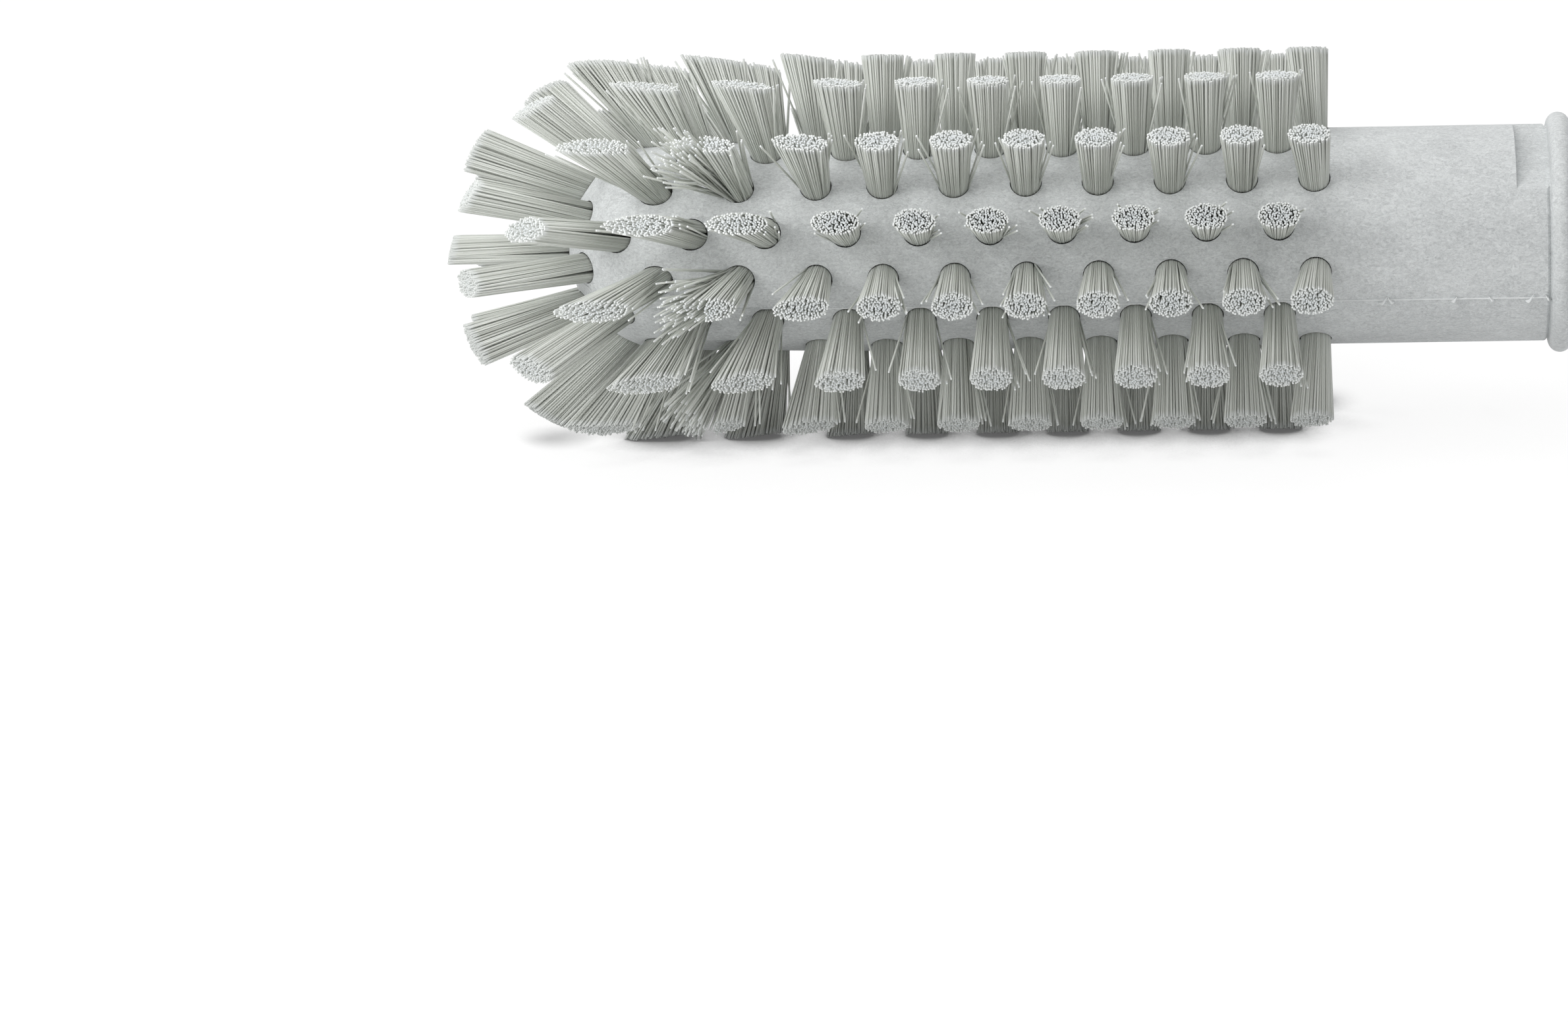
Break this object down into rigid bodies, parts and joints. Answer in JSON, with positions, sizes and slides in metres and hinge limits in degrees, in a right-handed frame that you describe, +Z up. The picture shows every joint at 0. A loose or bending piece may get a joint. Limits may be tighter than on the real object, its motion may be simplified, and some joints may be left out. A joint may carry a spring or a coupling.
{
  "type": "valve brush",
  "caption": "Round brush head for cleaning valves and pipes: straight filament tufts around a block with a domed, tufted nose, a smooth neck and a threaded handle socket.",
  "frame": {"origin": "middle of the brush's length, on the surface that it lies on", "axes": "+X along the brush axis towards the socket mouth, +Z up, tufts pointing out from the X axis"},
  "size_m": [0.145, 0.05, 0.0492],
  "materials": {
    "block": "foamed polypropylene, faintly mottled",
    "bristle": "satin polyester filament",
    "anchor": "flat stainless wire"
  },
  "bodies": {
    "root": {"brush_block": "block", "bristles_rear": "bristle", "bristles_middle": "bristle", "bristles_front": "bristle", "bristles_nose": "bristle", "anchor_ring2_row2": "anchor", "anchor_ring2_row4": "anchor", "anchor_ring2_row6": "anchor", "anchor_ring2_row8": "anchor", "anchor_ring2_row10": "anchor", "anchor_ring2_row12": "anchor", "anchor_ring2_row14": "anchor", "anchor_ring5_row1": "anchor", "anchor_ring5_row3": "anchor", "anchor_ring5_row5": "anchor", "anchor_ring5_row7": "anchor", "anchor_ring5_row9": "anchor", "anchor_ring5_row11": "anchor", "anchor_ring5_row13": "anchor", "anchor_ring8_row2": "anchor", "anchor_ring8_row4": "anchor", "anchor_ring8_row6": "anchor", "anchor_ring8_row8": "anchor", "anchor_ring8_row10": "anchor", "anchor_ring8_row12": "anchor", "anchor_ring8_row14": "anchor", "anchor_ring11_row1": "anchor", "anchor_ring11_row3": "anchor", "anchor_ring11_row5": "anchor", "anchor_ring11_row7": "anchor", "anchor_ring11_row9": "anchor", "anchor_ring11_row11": "anchor", "anchor_ring11_row13": "anchor", "anchor_ring14_row2": "anchor", "anchor_ring14_row4": "anchor", "anchor_ring14_row6": "anchor", "anchor_ring14_row8": "anchor", "anchor_ring14_row10": "anchor", "anchor_ring14_row12": "anchor", "anchor_ring14_row14": "anchor", "anchor_ring17_row1": "anchor", "anchor_ring17_row3": "anchor", "anchor_ring17_row5": "anchor", "anchor_ring17_row7": "anchor", "anchor_ring17_row9": "anchor", "anchor_ring17_row11": "anchor", "anchor_ring17_row13": "anchor", "anchor_ring20_row2": "anchor", "anchor_ring20_row4": "anchor", "anchor_ring20_row6": "anchor", "anchor_ring20_row8": "anchor", "anchor_ring20_row10": "anchor", "anchor_ring20_row12": "anchor", "anchor_ring20_row14": "anchor", "anchor_axis": "anchor"}
  },
  "joints": []
}
